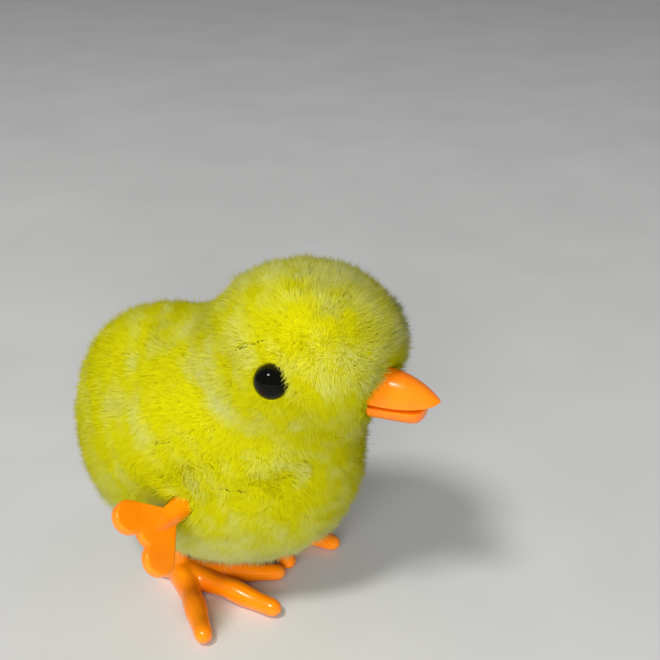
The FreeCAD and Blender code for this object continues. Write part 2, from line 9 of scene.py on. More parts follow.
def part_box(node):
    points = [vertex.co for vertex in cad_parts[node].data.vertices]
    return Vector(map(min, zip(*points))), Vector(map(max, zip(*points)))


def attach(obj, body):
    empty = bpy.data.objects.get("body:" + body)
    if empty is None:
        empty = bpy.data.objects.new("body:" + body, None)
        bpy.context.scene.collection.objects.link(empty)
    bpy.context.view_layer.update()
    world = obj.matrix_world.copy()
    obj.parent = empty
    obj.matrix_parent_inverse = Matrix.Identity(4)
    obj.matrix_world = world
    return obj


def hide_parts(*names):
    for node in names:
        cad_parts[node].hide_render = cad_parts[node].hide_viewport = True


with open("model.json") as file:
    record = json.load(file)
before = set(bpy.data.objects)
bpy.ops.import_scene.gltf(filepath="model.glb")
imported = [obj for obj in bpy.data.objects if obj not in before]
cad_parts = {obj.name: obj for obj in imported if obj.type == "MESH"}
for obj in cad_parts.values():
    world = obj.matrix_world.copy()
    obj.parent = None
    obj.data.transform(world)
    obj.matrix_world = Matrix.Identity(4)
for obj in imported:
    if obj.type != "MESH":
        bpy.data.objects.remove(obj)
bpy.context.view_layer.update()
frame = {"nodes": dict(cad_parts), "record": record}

# Sizes below are millimetres in the chick's own coordinates: x = 0 is the middle of the body,
# y = 0 the chick's middle plane and z = 0 the surface it stands on. BODY_FUR and HEAD_FUR are the
# half axes of two ellipsoids that the tips of the pile reach.
MM = 0.001
BODY_MID = np.array((0.0, 0.0, 31.8))
BODY_FUR = np.array((33.3, 24.6, 28.0))
HEAD_MID = np.array((22.0, 0.0, 57.4))
HEAD_FUR = np.array((20.6, 18.9, 17.5))
COVER_LOW, COVER_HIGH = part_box("plush_cover")
ORIGIN = np.array((COVER_LOW.x / MM + BODY_FUR[0], (COVER_LOW.y + COVER_HIGH.y) / 2.0 / MM, 0.0))

CAMERA_TARGET = np.array((27.05, 0.0, 61.96))
CAMERA_AZIMUTH = math.radians(28.36)
CAMERA_ELEVATION = math.radians(24.82)
CAMERA_DISTANCE = 212.4
CAMERA_LENS = 60.1
KEY_LIGHT_FROM = (-0.08, -0.50, 0.86)      # above, a little behind the chick's right shoulder
FILL_LIGHT_FROM = (0.40, -0.85, 0.28)      # low, in front of the chick's right cheek
FLOOR_HALF = 3000.0

UNDERCOAT_DEPTH = 2.3              # how far the dense underfur lies below the tips
ROOT_DEPTH = 4.0                   # how far the roots lie below them
UNDERCOAT_THICK = 0.6
STRAND_WIDTH = 0.16
CLUMP_PULL = 0.34                  # how far a strand follows the middle of its tuft
NECK_ROUND = 13.0                  # reach of the rounding in the crease between head and body
STRANDS_PER_MM2 = 20.0
TUFTS_PER_MM2 = 0.9
RING_SHARES = (0.0, 0.55)          # where along a strand its rings sit
RING_WIDTHS = (1.0, 0.85)          # its thickness there
SIDES = 3
STRAND_POINTS = len(RING_SHARES) * SIDES + 1
SOFT_NORMALS = 0.85                # how far a strand is shaded like the surface it grows on
PIECE_STRANDS = 19000              # the most in one piece of fur
TAIL_WISP = np.array((-28.5, -4.0, 50.5))
BROW = np.array((37.0, 7.0, 60.5))         # pale patch over the beak, on both sides
RUMP = np.array((-23.0, 0.0, 51.0))
RUMP_SWELL = 3.2                   # how far the rump stands out of the body ellipsoid
RUMP_REACH = 12.0
BEAK_FRONT = np.array((41.5, 0.0, 53.0))
BEAK_HOLLOW = 1.8                  # how far the pile draws back round the beak
HOLLOW_REACH = 7.0
UNDERSIDE_BARE = (13.5, 9.3)       # half axes of the bare oval over the base plate
UNDERSIDE_TOP = 16.0
KEY_BARE = 2.45                    # radius of the bare round under the key
EYE_BARE = 3.15
BEAK_BARE = (4.6, 5.4)             # half axes of the bare oval behind the beak
BEAK_BARE_Z = 51.8
SHANK_Y = 11.1
SLOT_HALF_Y = 2.2                  # the slot that each shank swings in
SLOT_HALF_X = 4.8
SLOT_BACK = 1.8                    # how far the slot's middle lies behind the shank at rest
SLOT_FOOT_Z = 3.0                  # where the slot's line down the shank meets the foot
SLOT_OVER_AXLE = 2.0
FLANK_Y = 10.0                     # the key and the eyes stand further out than this
FACE_X = 32.0                      # the beak stands further forward than this
SEAMS = (((16.0, -16.6, 62.1), (22.9, -15.6, 65.8), 6),     # stitches that show through the pile
         ((0.6, -22.3, 40.7), (4.2, -21.7, 41.9), 4),
         ((13.0, -21.5, 33.8), (19.8, -18.7, 33.4), 6))

EYE_MID = np.array((24.0, 17.1, 57.8))
EYE_RADIUS = 3.4
EYE_RISE = 3.1                     # how far the dome stands out of its rim
BEAK_BASE = np.array((38.1, 0.0, 51.5))
BEAK_ROOT_X = BEAK_BASE[0] - 1.5   # where the mandibles start, inside the fur
BEAK_TIP_X = 50.6
LOWER_SHORTER = 2.9                # how much shorter the lower mandible is
MOUTH_Z = BEAK_BASE[2] - 0.9
ARBOR = np.array((5.4, 27.6))      # x, z of the winding arbor
KEY_MID_Y = -34.7
KEY_ROOT_Y = -21.3
KEY_TILT = math.radians(-50.0)
KEY_WING_R = 3.4
KEY_WING_AT = 4.9
KEY_THICK = 2.2
FOOT_ROOT = np.array((-3.0, 12.0))
LEG_AXLE = np.array((-9.5, 20.0))
TOES = ((23.6, 43.6), (25.6, 2.5), (22.6, -28.0))          # reach and degrees outward
HEEL = (7.0, 172.0)


def to_row(points):
    """Chick coordinates in millimetres to the row frame in metres."""
    return (np.asarray(points, float) + ORIGIN) * MM


# ---- camera, light and floor ----------------------------------------------------------------
def make_camera():
    data = bpy.data.cameras.new("camera")
    data.lens = CAMERA_LENS
    data.clip_start = 0.01
    camera = bpy.data.objects.new("camera", data)
    bpy.context.scene.collection.objects.link(camera)
    away = np.array((math.sin(CAMERA_AZIMUTH) * math.cos(CAMERA_ELEVATION),
                     -math.cos(CAMERA_AZIMUTH) * math.cos(CAMERA_ELEVATION),
                     math.sin(CAMERA_ELEVATION)))
    camera.location = Vector(to_row(CAMERA_TARGET + CAMERA_DISTANCE * away))
    camera.rotation_euler = Vector(away).to_track_quat("Z", "Y").to_euler()
    bpy.context.scene.camera = camera


def area_light(name, direction, distance, size, power, colour, mirrored=True):
    """Round soft light aimed at the body from a direction, distance in millimetres, size in metres."""
    data = bpy.data.lights.new(name, "AREA")
    data.shape = "DISK"
    data.size = size
    data.energy = power
    data.color = colour
    light = bpy.data.objects.new(name, data)
    bpy.context.scene.collection.objects.link(light)
    away = Vector(direction).normalized()
    light.location = Vector(to_row(BODY_MID)) + away * distance * MM
    light.rotation_euler = away.to_track_quat("Z", "Y").to_euler()
    light.visible_glossy = mirrored


def make_lights():
    area_light("key_light", KEY_LIGHT_FROM, 1400.0, 0.30, 10.0, (1.0, 0.985, 0.95))
    area_light("fill_light", FILL_LIGHT_FROM, 1300.0, 1.10, 19.0, (1.0, 0.99, 0.96), mirrored=False)
    world = bpy.data.worlds.new("studio")
    world.use_nodes = True
    world.node_tree.nodes["Background"].inputs["Color"].default_value = (0.97, 0.98, 1.0, 1.0)
    world.node_tree.nodes["Background"].inputs["Strength"].default_value = 0.17
    bpy.context.scene.world = world
    bpy.context.scene.view_settings.view_transform = "Standard"


# ---- meshes ---------------------------------------------------------------------------------
def add_object(name, mesh, material, smooth=True):
    piece = bpy.data.objects.new(name, mesh)
    bpy.context.scene.collection.objects.link(piece)
    mesh.materials.append(material)
    if smooth:
        mesh.polygons.foreach_set("use_smooth", [True] * len(mesh.polygons))
    return piece


def mesh_of(name, points, faces):
    mesh = bpy.data.meshes.new(name)
    mesh.from_pydata([tuple(point) for point in to_row(points)], [], faces)
    mesh.validate()
    return mesh


def grid_faces(rings, corners, close_ends=True):
    """Quads between rings of corners, numbered ring by ring, with both ends capped."""
    faces = []
    for ring in range(rings - 1):
        for corner in range(corners):
            after = (corner + 1) % corners
            faces.append((ring * corners + corner, ring * corners + after,
                          (ring + 1) * corners + after, (ring + 1) * corners + corner))
    if close_ends:
        faces.append(tuple(range(corners))[::-1])
        faces.append(tuple((rings - 1) * corners + corner for corner in range(corners)))
    return faces


def applied(piece):
    """Puts the result of the piece's modifiers into its mesh."""
    graph = bpy.context.evaluated_depsgraph_get()
    result = bpy.data.meshes.new_from_object(piece.evaluated_get(graph), depsgraph=graph)
    piece.modifiers.clear()
    piece.data = result
    return piece


def merged(piece, voxel_mm, rounds):
    """Melts overlapping closed solids into one smooth moulding."""
    melt = piece.modifiers.new("melt", "REMESH")
    melt.mode = "VOXEL"
    melt.voxel_size = voxel_mm * MM
    melt.use_smooth_shade = True
    calm = piece.modifiers.new("calm", "SMOOTH")
    calm.factor = 0.5
    calm.iterations = rounds
    return applied(piece)


def tube(path, radii, corners=20, squash=1.0):
    """Rings of a round bar along a path of points."""
    path = np.asarray(path, float)
    rings = []
    for number, point in enumerate(path):
        before = path[max(number - 1, 0)]
        after = path[min(number + 1, len(path) - 1)]
        along = (after - before) / np.linalg.norm(after - before)
        side = np.cross(along, (0.0, 0.0, 1.0))
        if np.linalg.norm(side) < 0.05:
            side = np.array((0.0, 1.0, 0.0))
        side = side / np.linalg.norm(side)
        up = np.cross(side, along)
        for corner in range(corners):
            angle = 2 * math.pi * corner / corners
            rings.append(point + radii[number] * (math.cos(angle) * side + squash * math.sin(angle) * up))
    return np.array(rings), grid_faces(len(path), corners)


def joined(parts):
    """One point array and face list out of several."""
    points, faces, start = [], [], 0
    for some_points, some_faces in parts:
        points.append(some_points)
        faces.extend(tuple(start + index for index in face) for face in some_faces)
        start += len(some_points)
    return np.concatenate(points), faces


# ---- materials ------------------------------------------------------------------------------
class Nodes:
    """A material's node tree, with short ways to add to it."""

    def __init__(self, name):
        self.material = bpy.data.materials.new(name)
        self.material.use_nodes = True
        self.tree = self.material.node_tree
        self.shader = self.tree.nodes["Principled BSDF"]

    def add(self, kind, **settings):
        node = self.tree.nodes.new(kind)
        for key, value in settings.items():
            setattr(node, key, value)
        return node

    def link(self, source, target):
        self.tree.links.new(source, target)

    def set(self, **values):
        for key, value in values.items():
            self.shader.inputs[key.replace("_", " ")].default_value = value

    def coords(self):
        return self.add("ShaderNodeTexCoord").outputs["Object"]

    def noise(self, scale, detail=3.0, roughness=0.5):
        """Noise on the object's own coordinates, with about scale lumps to the millimetre."""
        node = self.add("ShaderNodeTexNoise")
        node.inputs["Scale"].default_value = scale / MM
        node.inputs["Detail"].default_value = detail
        node.inputs["Roughness"].default_value = roughness
        self.link(self.coords(), node.inputs["Vector"])
        return node.outputs["Fac"]

    def ramp(self, source, stops):
        node = self.add("ShaderNodeValToRGB")
        elements = node.color_ramp.elements
        while len(elements) < len(stops):
            elements.new(0.5)
        for element, (place, colour) in zip(elements, stops):
            element.position = place
            element.color = (*colour, 1.0)
        self.link(source, node.inputs["Fac"])
        return node.outputs["Color"]

    def mix(self, share, first, second, blend="MIX"):
        node = self.add("ShaderNodeMix", data_type="RGBA", blend_type=blend)
        for value, socket in ((share, 0), (first, 6), (second, 7)):
            if isinstance(value, (int, float)):
                node.inputs[socket].default_value = value
            elif isinstance(value, tuple):
                node.inputs[socket].default_value = (*value, 1.0)
            else:
                self.link(value, node.inputs[socket])
        return node.outputs[2]

    def bump(self, height, depth_mm, strength):
        node = self.add("ShaderNodeBump")
        node.inputs["Strength"].default_value = strength
        node.inputs["Distance"].default_value = depth_mm * MM
        self.link(height, node.inputs["Height"])
        self.link(node.outputs["Normal"], self.shader.inputs["Normal"])

    def colour(self, source):
        self.link(source, self.shader.inputs["Base Color"])


def fur_material(name, root, middle, tip, cream):
    """Pile fibres: saturated at the root, paler to the tip, and paler still where the tips show."""
    nodes = Nodes(name)
    along = nodes.add("ShaderNodeAttribute", attribute_name="along").outputs["Fac"]
    tint = nodes.add("ShaderNodeAttribute", attribute_name="tint").outputs["Fac"]
    pale = nodes.add("ShaderNodeAttribute", attribute_name="pale").outputs["Fac"]
    rich = nodes.ramp(along, ((0.0, root), (0.55, middle), (1.0, tip)))
    faded = nodes.ramp(along, ((0.0, middle), (0.55, tip), (1.0, cream)))
    washed = nodes.mix(pale, rich, faded)
    shade = nodes.ramp(tint, ((0.0, (0.88, 0.89, 0.84)), (1.0, (1.0, 1.0, 1.0))))
    nodes.colour(nodes.mix(1.0, washed, shade, "MULTIPLY"))
    nodes.set(Roughness=0.9, Specular_IOR_Level=0.02)
    return nodes.material


def undercoat_material():
    nodes = Nodes("underfur")
    lumps = nodes.noise(0.9, 4.0, 0.6)
    nodes.colour(nodes.ramp(lumps, ((0.3, (0.48, 0.455, 0.001)), (0.7, (0.60, 0.57, 0.003)))))
    nodes.set(Roughness=0.9, Specular_IOR_Level=0.1)
    nodes.bump(nodes.noise(1.6, 3.0), 0.5, 0.8)
    return nodes.material


def thread_material():
    nodes = Nodes("seam_thread")
    nodes.colour(nodes.ramp(nodes.noise(3.0), ((0.3, (0.010, 0.010, 0.004)), (0.7, (0.05, 0.045, 0.01)))))
    nodes.set(Roughness=0.8)
    return nodes.material


def moulded_plastic(name, deep, light, roughness, coat=0.0, glow=0.0, shine=0.5):
    """Glossy injection moulding with faint flow colour and a soft ripple in its shine."""
    nodes = Nodes(name)
    nodes.colour(nodes.ramp(nodes.noise(0.16, 3.0), ((0.3, deep), (0.7, light))))
    fine = nodes.noise(1.4, 2.0)
    spread = nodes.add("ShaderNodeMapRange")
    spread.inputs["To Min"].default_value = roughness * 0.8
    spread.inputs["To Max"].default_value = roughness * 1.3
    nodes.link(fine, spread.inputs["Value"])
    nodes.link(spread.outputs["Result"], nodes.shader.inputs["Roughness"])
    nodes.bump(nodes.noise(0.45, 2.0), 0.06, 0.25)
    nodes.set(Coat_Weight=coat, Coat_Roughness=0.08, Specular_IOR_Level=shine, Subsurface_Weight=glow,
              Subsurface_Radius=(0.0016, 0.0006, 0.0001), Subsurface_Scale=1.0)
    return nodes.material


def metal(name, deep, light, roughness):
    nodes = Nodes(name)
    nodes.colour(nodes.ramp(nodes.noise(0.8, 3.0), ((0.3, deep), (0.7, light))))
    nodes.bump(nodes.noise(6.0, 2.0), 0.02, 0.3)
    nodes.set(Metallic=1.0, Roughness=roughness)
    return nodes.material


def floor_material():
    nodes = Nodes("table")
    clouds = nodes.noise(0.02, 3.0)
    nodes.colour(nodes.ramp(clouds, ((0.3, (0.66, 0.665, 0.67)), (0.7, (0.71, 0.715, 0.72)))))
    nodes.set(Roughness=0.55, Specular_IOR_Level=0.3)
    return nodes.material


# ---- fur ------------------------------------------------------------------------------------
def wave_field(points, seed, size_mm, count=6):
    """Smooth pseudo-random vectors in about -1 to 1, from a few plane waves."""
    rng = np.random.default_rng(seed)
    field = np.zeros((len(points), 3))
    for _ in range(count):
        direction = rng.normal(size=3)
        direction *= 2 * math.pi / (size_mm * np.linalg.norm(direction)) * rng.uniform(0.6, 1.5)
        phase = rng.uniform(0, 2 * math.pi, 3)
        waves = points @ direction
        field += np.sin(waves[:, None] + phase)
    return field / math.sqrt(count / 2.0) / 1.6


def spread_on(mid, radii, count, seed):
    """Random points spread evenly over an ellipsoid."""
    rng = np.random.default_rng(seed)
    ball = rng.normal(size=(count * 3, 3))
    ball /= np.linalg.norm(ball, axis=1)[:, None]
    stretch = np.linalg.norm(ball / radii, axis=1) * np.prod(radii)
    keep = rng.uniform(0, stretch.max(), len(ball)) < stretch
    return mid + ball[keep][:count] * radii


def area_of(radii):
    """Surface of an ellipsoid in square millimetres, by Thomsen's formula."""
    power = 1.6075
    a, b, c = radii ** power
    return 4 * math.pi * ((a * b + a * c + b * c) / 3.0) ** (1 / power)


def gap_to(points, mid, radii):
    """Distance out from an ellipsoid along the line to its centre, negative inside it."""
    reach = np.linalg.norm(points - mid, axis=1)
    share = np.linalg.norm((points - mid) / radii, axis=1)
    return reach * (1.0 - 1.0 / share)


def nearness(points, place, reach):
    """1 at a place, falling off smoothly over a reach in millimetres."""
    return np.exp(-np.sum((points - place) ** 2, axis=1) / reach ** 2)


def gap_to_chick(points, depth):
    """Distance out from the chick drawn in by a depth: body and head with the crease between them
    rounded, the rump swelled out and a hollow round the beak."""
    body = gap_to(points, BODY_MID, BODY_FUR - depth)
    head = gap_to(points, HEAD_MID, HEAD_FUR - depth)
    near = np.clip(1.0 - np.abs(body - head) / NECK_ROUND, 0.0, 1.0)
    swell = RUMP_SWELL * nearness(points, RUMP, RUMP_REACH)
    swell -= BEAK_HOLLOW * nearness(points, BEAK_FRONT, HOLLOW_REACH)
    return np.minimum(body, head) - 0.25 * NECK_ROUND * near ** 2 - swell


def outward(points, depth):
    """Unit normals of that surface."""
    step = 0.05
    slopes = [gap_to_chick(points + step * axis, depth) - gap_to_chick(points - step * axis, depth)
              for axis in np.eye(3)]
    slopes = np.stack(slopes, axis=1)
    return slopes / np.linalg.norm(slopes, axis=1)[:, None]


def settled(points, depth):
    """Points moved out onto that surface."""
    for _ in range(3):
        points = points - gap_to_chick(points, depth)[:, None] * outward(points, depth)
    return points


def inside(points, mid, radii):
    return np.sum(((points - mid) / radii) ** 2, axis=1) < 1.0


def bald(points):
    """True where no fur grows: the underside, the key, the legs, the eyes and the beak."""
    x, y, z = points.T
    side = np.abs(y)
    under = (z < UNDERSIDE_TOP) & ((x / UNDERSIDE_BARE[0]) ** 2 + (y / UNDERSIDE_BARE[1]) ** 2 < 1.0)
    key = (y < -FLANK_Y) & (np.hypot(x - ARBOR[0], z - ARBOR[1]) < KEY_BARE)
    reach = (LEG_AXLE[1] - z) / (LEG_AXLE[1] - SLOT_FOOT_Z)
    shank_x = LEG_AXLE[0] + reach * (FOOT_ROOT[0] - LEG_AXLE[0])
    legs = (z < LEG_AXLE[1] + SLOT_OVER_AXLE) & (np.abs(side - SHANK_Y) < SLOT_HALF_Y)
    legs &= np.abs(x - shank_x + SLOT_BACK) < SLOT_HALF_X
    eyes = (np.hypot(x - EYE_MID[0], z - EYE_MID[2]) < EYE_BARE) & (side > FLANK_Y)
    beak = (x > FACE_X) & ((y / BEAK_BARE[0]) ** 2 + ((z - BEAK_BARE_Z) / BEAK_BARE[1]) ** 2 < 1.0)
    return under | key | legs | eyes | beak


def comb(points, normals, seed):
    """Which way the pile leans at each point, along the surface, and how strongly: down and back in
    waves, away from the beak, and away from the eye but where it hangs over the eye's upper front."""
    pull = np.tile((-0.20, 0.0, -0.26), (len(points), 1))
    pull += 0.50 * wave_field(points, seed, 19.0)
    pull += 0.38 * wave_field(points, seed + 1, 7.0)
    pull += 0.20 * wave_field(points, seed + 2, 3.0)
    from_beak = points - BEAK_BASE
    reach = np.linalg.norm(from_beak, axis=1)
    near_beak = np.clip(1.0 - (reach - 6.0) / 7.0, 0.0, 1.0)[:, None]
    pull = pull * (1 - near_beak) + near_beak * from_beak / reach[:, None] * 1.3
    from_eye = (points - EYE_MID) * (1.0, 0.0, 1.0)
    reach = np.maximum(np.linalg.norm(from_eye, axis=1), 0.1)[:, None]
    from_eye = from_eye / reach
    overhang = np.clip(0.5 - from_eye @ np.array((0.85, 0.0, 0.85)), 0.0, 1.0)[:, None]
    near_eye = np.clip(1.0 - (reach - 3.0) / 4.0, 0.0, 1.0) * (np.abs(points[:, 1:2]) > 9.0) * overhang
    pull = pull * (1 - near_eye) + near_eye * from_eye * 1.1
    return pull - np.sum(pull * normals, axis=1)[:, None] * normals


def paleness(points, other_mid, other_radii):
    """0 to 1: where the pile shows its pale tips: the neck, the crown, the hem, the brow and the hills."""
    z = points[:, 2]
    neck_gap = np.linalg.norm((points - other_mid) / other_radii, axis=1) - 1.0
    neck = np.exp(-((neck_gap - 0.08) / 0.20) ** 2)
    crown = np.clip((z - 66.5) / 6.0, 0.0, 1.0)
    hem = np.clip((29.0 - z) / 14.0, 0.0, 1.0)
    brow = sum(nearness(points, BROW * (1.0, side, 1.0), 6.0) for side in (-1, 1))
    bands = 0.36 * neck + 0.85 * crown + 0.95 * hem + 0.75 * brow
    return np.clip(0.02 + bands + 0.48 * hills(points), 0.0, 1.0)


def hills(points):
    """Where the pile clumps into soft hills, 1, and parts into hollows, -1."""
    return 0.55 * wave_field(points, 77, 10.0)[:, 0] + 0.60 * wave_field(points, 78, 4.4)[:, 0]


def lifts(points):
    """How high the pile stands at each point, as a share of its usual height."""
    return 0.97 + 0.12 * hills(points) + 0.8 * nearness(points, TAIL_WISP, 2.4)


def nearest(places, points):
    """For every point, the number of the place nearest to it."""
    tree = kdtree.KDTree(len(places))
    for number, place in enumerate(places):
        tree.insert(Vector(place), number)
    tree.balance()
    return np.array([tree.find(Vector(point))[1] for point in points])


def across_surface(vectors, normals):
    return vectors - np.sum(vectors * normals, axis=1)[:, None] * normals


def strand_arrays(points, normals, mid, radii, pales, seed):
    """Root, middle and tip of every strand, its width, and what colours it. Tips lean partly towards
    the tip of their tuft, and one strand in about thirty strays from it."""
    rng = np.random.default_rng(seed)
    count = len(points)
    tuft_count = int(area_of(radii) * TUFTS_PER_MM2)
    tuft_points = settled(spread_on(mid, radii - ROOT_DEPTH, tuft_count, seed + 5), ROOT_DEPTH)
    tuft_normals = outward(tuft_points, ROOT_DEPTH)
    tuft = nearest(tuft_points, points)
    tuft_rng = np.random.default_rng(seed + 9)
    tuft_lift = lifts(tuft_points) * (0.95 + 0.10 * tuft_rng.random(len(tuft_points)))
    tuft_stray = across_surface(tuft_rng.normal(size=tuft_points.shape), tuft_normals)
    tuft_lean = 2.1 * comb(tuft_points, tuft_normals, seed + 2) + 0.55 * tuft_stray
    rise = ROOT_DEPTH * tuft_lift[tuft] * (0.80 + 0.28 * rng.random(count))
    stray = rng.random(count) < 0.03
    rise[stray] *= 1.15
    own = points + normals * rise[:, None] + 1.8 * comb(points, normals, seed + 2)
    shared = tuft_points[tuft] + tuft_normals[tuft] * rise[:, None] + tuft_lean[tuft]
    pull = (CLUMP_PULL * (0.4 + 0.6 * rng.random(count)))[:, None]
    pull[stray] = 0.0
    tips = own * (1 - pull) + shared * pull + 0.48 * rng.normal(size=points.shape)
    straight = points + normals * rise[:, None]
    middles = points + normals * (0.56 * rise)[:, None] + (tips - straight) * 0.30
    middles += 0.30 * rng.normal(size=points.shape)
    widths = STRAND_WIDTH * (0.75 + 0.5 * rng.random(count))
    tuft_tint = tuft_rng.random(len(tuft_points))[tuft]
    tints = np.clip(0.5 + 0.30 * rng.normal(size=count) + 0.35 * (tuft_tint - 0.5), 0, 1)
    return points, middles, tips, widths, tints, pales, normals


def strand_faces():
    """Faces of one closed strand: quads between the rings, a point at the tip, a cap at the root."""
    faces = grid_faces(len(RING_SHARES), SIDES, close_ends=False)
    last = (len(RING_SHARES) - 1) * SIDES
    for side in range(SIDES):
        faces.append((last + side, last + (side + 1) % SIDES, STRAND_POINTS - 1))
    faces.append(tuple(range(SIDES))[::-1])
    return faces


def strand_points(roots, middles, tips, widths, seed):
    """Every point of every strand, an array of strands by points by x, y, z."""
    rng = np.random.default_rng(seed)
    heading = tips - roots
    heading /= np.linalg.norm(heading, axis=1)[:, None]
    side = np.cross(heading, rng.normal(size=heading.shape))
    side /= np.linalg.norm(side, axis=1)[:, None]
    other = np.cross(heading, side)
    points = np.empty((len(roots), STRAND_POINTS, 3))
    for ring, (share, width) in enumerate(zip(RING_SHARES, RING_WIDTHS)):
        centre = (1 - share) ** 2 * roots + 2 * share * (1 - share) * middles + share ** 2 * tips
        for corner in range(SIDES):
            angle = 2 * math.pi * corner / SIDES
            out = (math.cos(angle) * side + math.sin(angle) * other) * (0.5 * width * widths)[:, None]
            points[:, ring * SIDES + corner] = centre + out
    points[:, -1] = tips
    return points


def strand_normals(points, normals):
    """Shading normals that lean from each strand's own round side to the chick's surface."""
    own = points - points.mean(axis=1, keepdims=True)
    own /= np.maximum(np.linalg.norm(own, axis=2, keepdims=True), 1e-6)
    mixed = own * (1 - SOFT_NORMALS) + normals[:, None, :] * SOFT_NORMALS
    return mixed / np.linalg.norm(mixed, axis=2, keepdims=True)


def fur_piece(name, strands, material, seed):
    """One mesh of closed strands, with what its material and its shading read from every point."""
    roots, middles, tips, widths, tints, pales, normals = strands
    count = len(roots)
    strand_array = strand_points(roots, middles, tips, widths, seed)
    shading = strand_normals(strand_array, normals)
    points = to_row(strand_array.reshape(-1, 3))
    one = strand_faces()
    corners = np.array([index for face in one for index in face])
    sizes = np.array([len(face) for face in one])
    loops = (corners[None, :] + STRAND_POINTS * np.arange(count)[:, None]).ravel()
    starts = np.concatenate(([0], np.cumsum(np.tile(sizes, count))[:-1]))
    mesh = bpy.data.meshes.new(name)
    mesh.vertices.add(len(points))
    mesh.vertices.foreach_set("co", points.ravel())
    mesh.loops.add(len(loops))
    mesh.loops.foreach_set("vertex_index", loops)
    mesh.polygons.add(len(starts))
    mesh.polygons.foreach_set("loop_start", starts)
    mesh.update(calc_edges=True)
    along = np.concatenate((np.repeat(RING_SHARES, SIDES), (1.0,)))
    for key, values in (("along", np.tile(along, count)), ("tint", np.repeat(tints, STRAND_POINTS)),
                        ("pale", np.repeat(pales, STRAND_POINTS))):
        mesh.attributes.new(key, "FLOAT", "POINT").data.foreach_set("value", values)
    layer = mesh.attributes.new("custom_normal", "FLOAT_VECTOR", "POINT")
    layer.data.foreach_set("vector", shading.ravel())
    add_strand_map(mesh, loops, count, along)
    piece = add_object(name, mesh, material)
    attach(piece, "chassis")
    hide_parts("plush_cover")


def add_strand_map(mesh, loops, count, along):
    """A texture map where every strand has a small cell of its own, root to tip."""
    cells = math.ceil(math.sqrt(count))
    strand = loops // STRAND_POINTS
    within = loops % STRAND_POINTS
    across = np.where(within == STRAND_POINTS - 1, 0.5, 0.2 + 0.3 * (within % SIDES))
    u = (strand % cells + across) / cells
    v = (strand // cells + 0.1 + 0.8 * along[within]) / cells
    layer = mesh.uv_layers.new(name="OFBake")
    layer.data.foreach_set("uv", np.stack((u, v), axis=1).ravel())


def grow_fur(name, mid, radii, other_mid, other_radii, material, seed):
    """Fur over one ellipsoid where it stands clear of the other, in pieces round the upright."""
    thinning = 1.0
    count = int(area_of(radii) * STRANDS_PER_MM2 / thinning)
    points = spread_on(mid, radii - ROOT_DEPTH, count, seed)
    points = points[~inside(points, other_mid, other_radii - ROOT_DEPTH)]
    points = settled(points, ROOT_DEPTH)
    points = points[~bald(points)]
    normals = outward(points, ROOT_DEPTH)
    order = np.argsort(np.arctan2(points[:, 1], points[:, 0] - mid[0]))
    points, normals = points[order], normals[order]
    pales = paleness(points, other_mid, other_radii - ROOT_DEPTH)
    arrays = strand_arrays(points, normals, mid, radii, pales, seed + 20)
    pieces = math.ceil(len(points) / PIECE_STRANDS)
    bounds = np.linspace(0, len(points), pieces + 1).astype(int)
    for number in range(pieces):
        part = slice(bounds[number], bounds[number + 1])
        fur_piece(f"{name}_{number + 1}", [values[part] for values in arrays], material, seed + 40 + number)


def undercoat(name, mid, radii, material, seed):
    """Dense underfur: a thin lumpy skin below the tips, open where no fur grows."""
    radii = radii - UNDERCOAT_DEPTH
    around, along = 160, 90
    turn = np.linspace(0, 2 * math.pi, around, endpoint=False)
    rise = np.linspace(0.0, math.pi, along)
    ball = np.array([(math.cos(t) * math.sin(r), math.sin(t) * math.sin(r), -math.cos(r))
                     for r in rise for t in turn])
    points = mid + ball * radii
    points = np.where((gap_to_chick(points, UNDERCOAT_DEPTH) < -4.0)[:, None], points,
                      settled(points, UNDERCOAT_DEPTH))
    points = points + ball * (0.35 * wave_field(points, seed, 3.0)[:, :1])
    faces = grid_faces(along, around, close_ends=False)
    open_at = bald(points[np.array(faces)].mean(axis=1))
    faces = [face for face, gone in zip(faces, open_at) if not gone]
    piece = add_object(name, mesh_of(name, points, faces), material)
    thick = piece.modifiers.new("thick", "SOLIDIFY")
    thick.thickness = UNDERCOAT_THICK * MM
    thick.offset = -1.0
    applied(piece)
    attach(piece, "chassis")
    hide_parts("plush_cover")


def make_stitches(material):
    """Dark seam thread that shows between the tufts, in short runs of slanted stitches."""
    rng = np.random.default_rng(321)
    parts = []
    for start, end, count in SEAMS:
        start, end = np.array(start), np.array(end)
        heading = (end - start) / np.linalg.norm(end - start)
        for number in range(count):
            place = start + (end - start) * (number + 0.3 * rng.random()) / count
            slant = heading * (0.30 + 0.25 * rng.random()) + rng.normal(size=3) * 0.16
            path = [place - slant, place + rng.normal(size=3) * 0.06, place + slant]
            parts.append(tube(path, (0.05, 0.13, 0.05), 8))
    points, faces = joined(parts)
    piece = add_object("seam_stitches", mesh_of("seam_stitches", points, faces), material)
    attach(piece, "chassis")
    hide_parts("plush_cover")


# ---- face -----------------------------------------------------------------------------------
def upper_shape(t):
    """Half width, height and level of the lower edge of the upper mandible, t from its base to its tip."""
    width = 4.7 * max(1 - t ** 2.3, 0.0) ** 0.7
    height = 6.1 * max(1 - t ** 2.5, 0.0) ** 0.78
    return width, height, MOUTH_Z + 0.9 * t ** 3 + 0.8 * t ** 14


def lower_shape(t):
    """The same for the lower mandible, whose level is its upper edge; it is shorter and blunt."""
    blunt = math.sqrt(max(1 - t ** 16, 0.0))
    return (4.2 - 0.8 * t) * blunt, (3.3 - 0.3 * t) * blunt, MOUTH_Z - 1.15 + 0.45 * t


